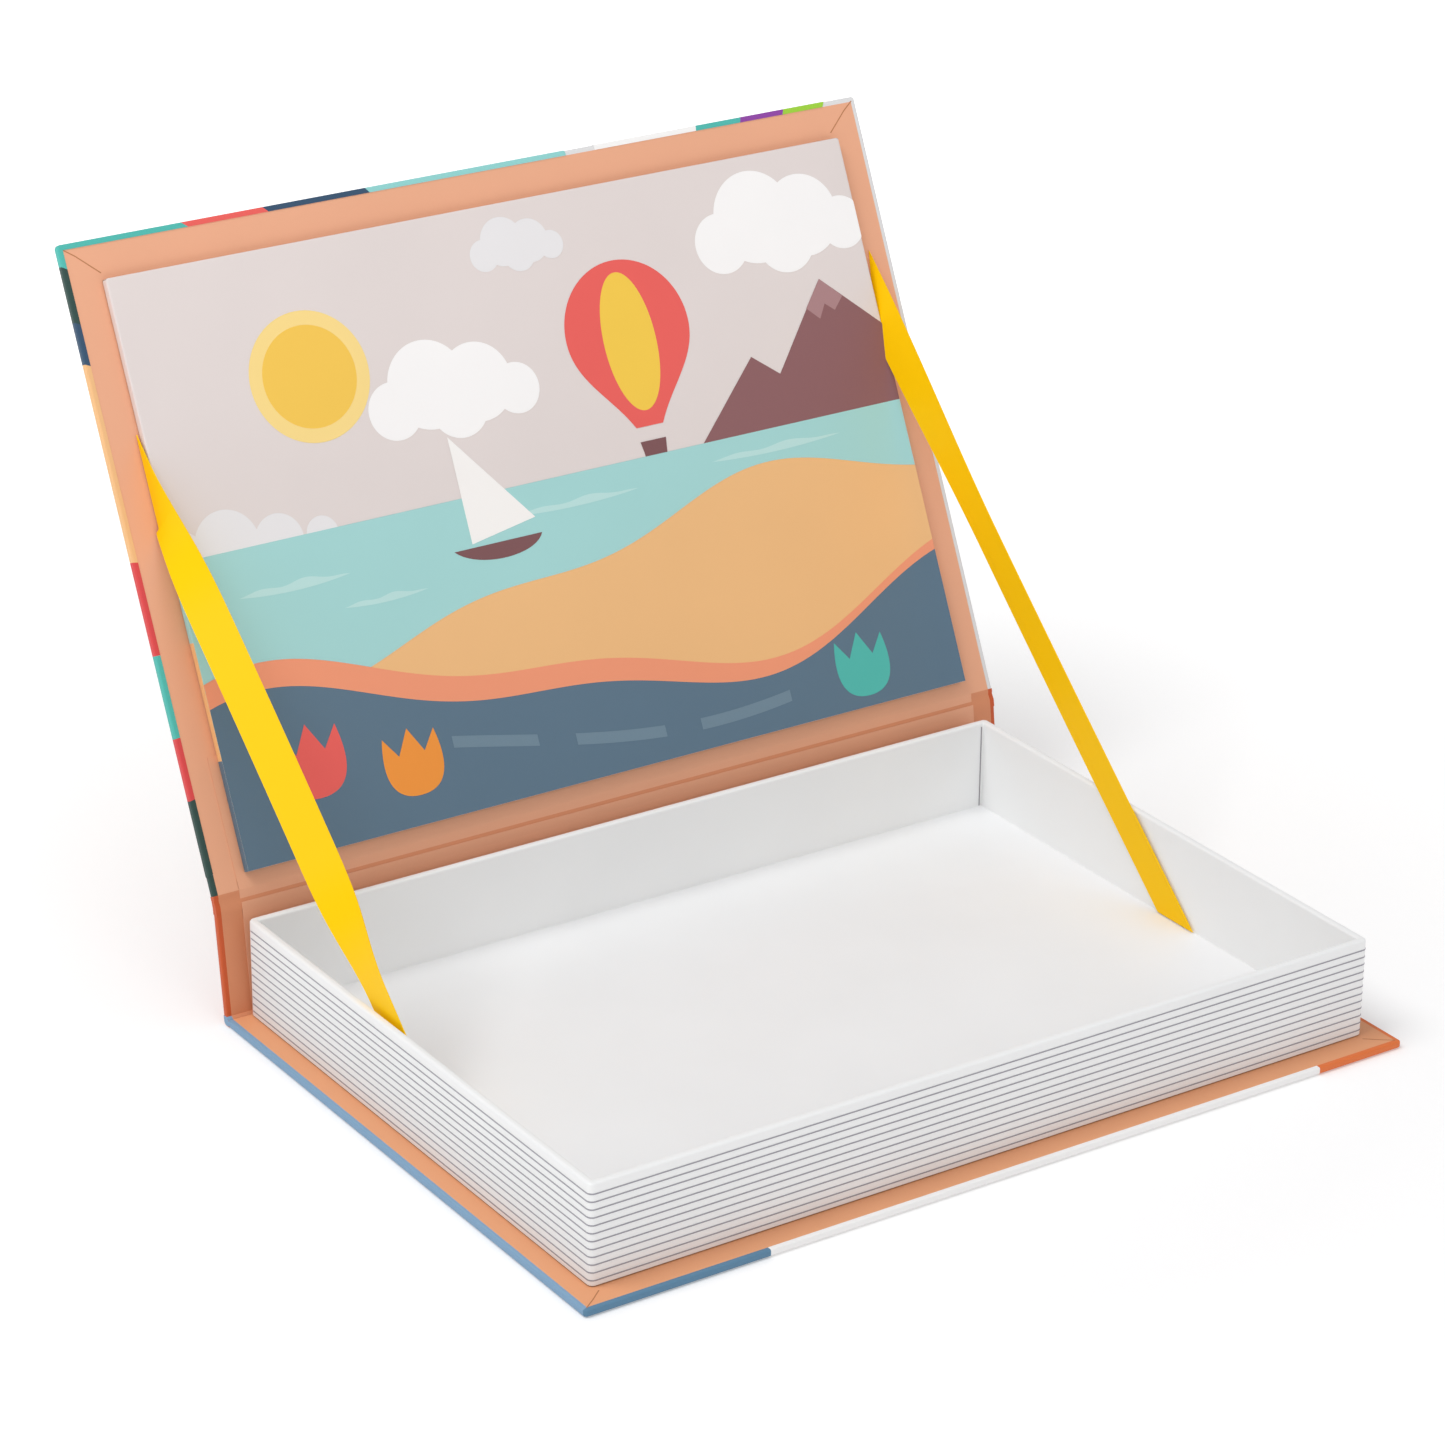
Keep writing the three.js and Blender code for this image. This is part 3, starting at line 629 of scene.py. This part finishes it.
printed("lake", [place(x, y) for x, y in shore], 0.04, INKS["#a3d4d2"], "print_lake")
for k, (x, y, long, high) in enumerate(
    [(-0.72, 0.44, 34, 2.4), (0.05, 0.47, 40, 2.0), (-0.5, 0.385, 26, 1.8), (0.62, 0.485, 44, 2.0)]
):
    cx, cy = place(x, y)
    ts = np.linspace(-1, 1, 40)
    swell = high / 2 * (1 - ts * ts)
    lower = np.stack([cx + ts * long / 2, cy - swell], axis=1)
    upper = np.stack([cx + ts * long / 2, cy + swell * (1 + 0.5 * np.sin(7 * ts))], axis=1)
    printed(f"ripple {k}", np.concatenate([lower, upper[-2:0:-1]]), 0.06, RIPPLE)
bx, by = place(-0.25, 0.44)
sail = [(bx, by), (bx, by + 0.187 * TALL), (bx + 0.131 * TALL, by + 0.022 * TALL)]
printed("sail", sail, 0.08, INKS["#f5f2ef"], "print_sail")
bow, stern = (bx - 6, by - 1), (bx + 22, by - 1)
hull = np.concatenate([[bow, stern], curve(stern, (bx + 19, by - 7), (bx, by - 7), bow)])
printed("hull", hull, 0.08, INKS["#7c5355"])
gx, gy = place(0.29, 0.74)
r = 0.125 * TALL
taper = [(-0.22, -1.35), (-0.5, -0.85), (-1.0, -0.55), (-1.0, 0.0)]
envelope = np.concatenate([
    curve(*[(gx + r * x, gy + r * y) for x, y in taper]),
    arc(gx, gy, r, 180.0, 0.0, 40),
    curve(*[(gx - r * x, gy + r * y) for x, y in taper[::-1]]),
])
gore = arc(gx, gy - r * 0.15, r * 0.98, squeeze=0.43)
printed("balloon", envelope, 0.02, INKS["#e8605a"], "print_balloon")
printed("balloon gore", gore, 0.04, INKS["#f2c84a"], "print_balloon_gore")
sand = ground(0.362, [(0.081, 0.7, 0.02), (0.022, 2.3, 0.6)])
coral = ground(0.225, [(0.081, 0.85, 0.6), (0.025, 2.1, 0.18)])
slate = ground(0.187, [(0.075, 0.9, 0.62), (0.025, 2.1, 0.2)])
printed("sand hill", sand, 0.10, INKS["#edba80"], "print_sand_hill")
printed("coral rim", coral, 0.12, INKS["#ef9874"], "print_coral_rim")
printed("slate hill", slate, 0.14, INKS["#5b7487"], "print_slate_hill")
for k, (x0, x1) in enumerate([(-0.42, -0.2), (-0.1, 0.14), (0.24, 0.5)]):
    xs = np.linspace(x0, x1, 14)
    mid = 0.10 + 0.055 * np.sin(2 * math.pi * (0.45 * xs + 0.62))
    lower, upper = (np.stack(place(xs, mid + d), axis=1) for d in (-0.010, 0.010))
    printed(f"field stripe {k}", np.concatenate([lower, upper[::-1]]), 0.16, SLATE_LIGHT)


def tulip(name, x, y, size, color, instead):
    """A cup with three points: a curve up each side and straight tips between them."""
    left = [(0.0, 0.0), (-1.0, 0.0), (-1.0, 0.9), (-0.8, 1.7)]
    tips = [(-0.4, 1.15), (0.0, 1.85), (0.4, 1.15)]
    right = [(-dx, dy) for dx, dy in left[::-1]]
    cup = np.concatenate([curve(*left), tips, curve(*right)[:-1]])
    printed(name, np.array(place(x, y)) + size * TALL * cup, 0.18, color, instead)


tulip("left tulip", -0.78, 0.087, 0.068, INKS["#e8605a"], "print_tulip_left")
tulip("middle tulip", -0.53, 0.05, 0.062, INKS["#f0953a"], "print_tulip_middle")
tulip("right tulip", 0.72, 0.019, 0.062, INKS["#4fb7ad"], "print_tulip_right")


# Ribbons
def strap(name, centres, wide, half_width, thick, material):
    """A flat strap: at each centre a thin rectangle along the unit vector `wide`.

    Its two ends are cut level: along the lid's inside and along the tray's floor.
    """
    run = np.gradient(centres, axis=0)
    run /= np.linalg.norm(run, axis=1)[:, None]
    out = np.cross(run, wide)
    out /= np.linalg.norm(out, axis=1)[:, None]
    line = (centres[-1] - centres[0]) / np.linalg.norm(centres[-1] - centres[0])
    across, up = np.array([(-1, -1), (1, -1), (1, 1), (-1, 1)]).T[:, None, :, None]
    rings = centres[:, None] + across * half_width * wide[:, None] + up * thick / 2 * out[:, None]
    behind = np.maximum(RIBBON_LID_END - (rings[..., 1:] - LID[0]) @ LID[2], 0)[..., None]
    rings = rings + line * behind / (line[1:] @ LID[2])
    below = np.maximum(RIBBON_FLOOR_END - rings[..., 2], 0)[..., None]
    rings = rings + line * below / line[2]
    item = solid(name, rings, loft_faces(len(rings), 4), [material], lambda c, k: 0, "tray")

    # UV in metres: across the ribbon, and along it from its upper end
    mesh = item.data
    spots = np.empty(3 * len(mesh.vertices))
    mesh.vertices.foreach_get("co", spots)
    spots = spots.reshape(-1, 3) * 1000
    near = np.linalg.norm(spots[:, None] - centres, axis=2).argmin(axis=1)
    length = np.concatenate([[0], np.cumsum(np.linalg.norm(np.diff(centres, axis=0), axis=1))])
    uv = np.stack([((spots - centres[near]) * wide[near]).sum(axis=1), length[near]], axis=1) / 1000
    corner_of = np.empty(len(mesh.loops), np.int32)
    mesh.loops.foreach_get("vertex_index", corner_of)
    mesh.uv_layers.new(name="UVMap").data.foreach_set("uv", uv[corner_of].ravel())
    return item


def smooth_step(t):
    """Eased step 3 t^2 - 2 t^3, with t kept between 0 and 1."""
    t = np.clip(t, 0, 1)
    return t * t * (3 - 2 * t)


def ribbon(hand, top, foot, bow, turn, half_width, material):
    """Centre line from top to foot plus bow * sin(pi t), t being the share of the length.

    Its width turns by the share turn(t) from the wall's plane to face the camera.
    """
    top, foot = np.array(top), np.array(foot)
    length = float(np.linalg.norm(foot - top))
    run = (foot - top) / length
    # It starts 20 mm behind the lid's inside and ends 9 mm below the floor, and strap cuts both ends.
    ts = np.linspace(-20 / length, 1 + 9 / length, 76)[:, None]
    centres = top + (foot - top) * ts + np.array(bow) * np.sin(math.pi * np.clip(ts, 0, 1))
    in_wall = np.cross(run, [1.0, 0, 0])
    in_wall /= np.linalg.norm(in_wall)
    facing = np.cross(run, np.array(TO_CAMERA))
    facing /= np.linalg.norm(facing)
    if np.dot(facing, in_wall) < 0:
        facing = -facing
    wide = in_wall * (1 - turn(ts)) + facing * turn(ts)
    wide /= np.linalg.norm(wide, axis=1)[:, None]
    item = strap(f"{hand} ribbon stay", centres, wide, half_width, 0.3, material)
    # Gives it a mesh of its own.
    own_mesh(item)
    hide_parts(f"{hand}_ribbon")
    return item


RIBBON_LEFT = satin("yellow satin ribbon, left", "#ffca00")
RIBBON_RIGHT = satin("yellow satin ribbon, right", "#ffc800")


def left_turn(t):
    """Rises from -0.03 to 0.24 of the length and falls back from 0.56 to 0.78."""
    return smooth_step((t + 0.03) / 0.27) - smooth_step((t - 0.56) / 0.22)


def right_turn(t):
    """A part turn at the lid that is gone at 0.4 of the length."""
    return 0.45 * (1 - smooth_step(t / 0.4))


def lid_end(x, up_lid):
    return (x, *at(LID, up_lid, RIBBON_LID_END))


LEFT_TOP, LEFT_FOOT = lid_end(-118.05, 112.0), (-117.9, -9.0, RIBBON_FLOOR_END)
RIGHT_TOP, RIGHT_FOOT = lid_end(118.05, 121.0), (117.9, -6.0, RIBBON_FLOOR_END)
ribbon("left", LEFT_TOP, LEFT_FOOT, (0.9, 0.0, 0.0), left_turn, 5.3, RIBBON_LEFT)
ribbon("right", RIGHT_TOP, RIGHT_FOOT, (-0.6, 0.0, 0.0), right_turn, 5.2, RIBBON_RIGHT)

# CAD pieces that stay as they are
for name, item in nodes.items():
    if name in PRINT_COLORS:
        material = INKS[PRINT_COLORS[name]]
    elif name.startswith("page_line"):
        material = LINE_INK
    elif name.endswith("_lining"):
        material = PEACH_BASE if name.startswith("back") else PEACH
    elif name == "picture_steel_sheet":
        material = brushed_steel("thin steel sheet")
    elif name in ("tray_wrap", "tray_floor_liner"):
        material = WHITE_FLOOR
    elif name.endswith("_ribbon"):
        material = RIBBON_LEFT
    elif name.endswith("_wrap"):
        material = COVER_GREY
    elif name == "picture_face_paper":
        material = SKY_PAPER
    else:
        material = GREYBOARD
    item.data.materials.clear()
    item.data.materials.append(material)


# Studio: white sweep, white surroundings, a large soft light above and a weak one in front
def paper_sweep():
    """White paper sweep with a painted glow, which rises from 0.15 m to 1.2 m off, so that the floor round the
    box is darker than far away.
    """
    material = bpy.data.materials.new("white sweep")
    material.use_nodes = True
    tree = material.node_tree
    tree.nodes.clear()
    matte = add(tree, "ShaderNodeBsdfDiffuse", Color=(0.8, 0.8, 0.8, 1))
    coords = add(tree, "ShaderNodeTexCoord")
    away = add(tree, "ShaderNodeVectorMath", i0=coords.outputs["Object"])
    away.operation = "LENGTH"
    rise = add(tree, "ShaderNodeMapRange", i0=away.outputs["Value"], i1=0.15, i2=1.2, i3=0.22, i4=0.95)
    glow = add(tree, "ShaderNodeEmission", Color=(1, 1, 1, 1), Strength=rise.outputs[0])
    both = add(tree, "ShaderNodeAddShader", i0=matte.outputs[0], i1=glow.outputs[0])
    out = add(tree, "ShaderNodeOutputMaterial")
    tree.links.new(both.outputs[0], out.inputs[0])
    mesh = bpy.data.meshes.new("floor")
    mesh.from_pydata([(-30, -30, 0), (30, -30, 0), (30, 30, 0), (-30, 30, 0)], [], [(0, 1, 2, 3)])
    mesh.materials.append(material)
    floor = bpy.data.objects.new("floor", mesh)
    bpy.context.scene.collection.objects.link(floor)
    floor.location.z = -0.0003


def surroundings(strength):
    """White to the camera, and softer as a light."""
    world = bpy.data.worlds.new("white room")
    world.use_nodes = True
    tree = world.node_tree
    tree.nodes.clear()
    path = add(tree, "ShaderNodeLightPath")
    seen = add(tree, "ShaderNodeBackground", Color=(1, 1, 1, 1), Strength=1.25)
    lit = add(tree, "ShaderNodeBackground", Color=(1, 0.99, 1, 1), Strength=strength)
    direct = path.outputs["Is Camera Ray"]
    mix = add(tree, "ShaderNodeMixShader", i0=direct, i1=lit.outputs[0], i2=seen.outputs[0])
    out = add(tree, "ShaderNodeOutputWorld")
    tree.links.new(mix.outputs[0], out.inputs[0])
    bpy.context.scene.world = world


def soft_light(name, stand, size, watts):
    """A round soft light at `stand` that points at the box."""
    light = bpy.data.lights.new(name, "AREA")
    light.shape = "DISK"
    light.size = size
    light.energy = watts
    item = bpy.data.objects.new(name, light)
    item.location = stand
    item.rotation_euler = (Vector((0, 0, 0.05)) - Vector(stand)).to_track_quat("-Z", "Y").to_euler()
    bpy.context.scene.collection.objects.link(item)


paper_sweep()
surroundings(0.5)
soft_light("key", (-1.0, 0.1, 2.0), 1.2, 23)
soft_light("front fill", (-0.1, -2.0, 1.3), 1.6, 8.5)
